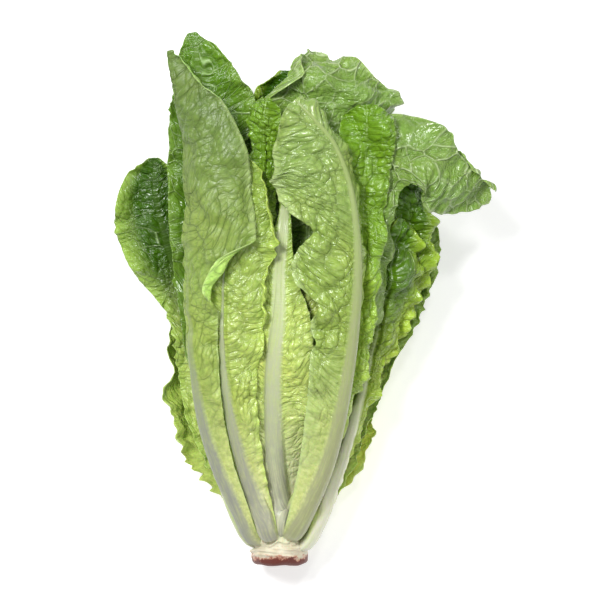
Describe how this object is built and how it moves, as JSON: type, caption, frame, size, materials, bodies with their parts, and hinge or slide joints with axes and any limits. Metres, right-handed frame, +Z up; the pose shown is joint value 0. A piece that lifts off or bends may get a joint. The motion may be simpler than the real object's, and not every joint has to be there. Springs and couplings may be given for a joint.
{
  "type": "romaine lettuce head",
  "caption": "Whole head of romaine lettuce lying on its back, with long ribbed, blistered and ruffled leaves round a cut stem.",
  "frame": {"origin": "on the surface that the head lies on, under the middle of its box", "axes": "+Y from the cut stem to the leaf tips, +X to the right and +Z up, away from the surface"},
  "size_m": [0.242, 0.34, 0.1191],
  "materials": {
    "leaf_outer": "satin, waxy and blistered",
    "leaf_inner": "satin, waxy and crinkled",
    "stem": "matte, wet cut end"
  },
  "bodies": {
    "root": {"leaf_left_tall": "leaf_outer", "leaf_middle_right": "leaf_outer", "leaf_right_low": "leaf_outer", "leaf_right_hanging": "leaf_outer", "leaf_top_right": "leaf_outer", "leaf_top_middle": "leaf_outer", "leaf_back_left": "leaf_outer", "leaf_back_right": "leaf_outer", "leaf_back_middle": "leaf_outer", "leaf_left_spread": "leaf_outer", "leaf_right_spread": "leaf_outer", "leaf_left_upper": "leaf_outer", "leaf_top_back": "leaf_outer", "leaf_right_upright": "leaf_outer", "leaf_middle_left": "leaf_inner", "leaf_middle": "leaf_inner", "leaf_inner_curled": "leaf_inner", "leaf_lower_left": "leaf_inner", "leaf_lower_right": "leaf_inner", "heart_left": "leaf_inner", "heart_right": "leaf_inner", "stem": "stem"}
  },
  "joints": []
}
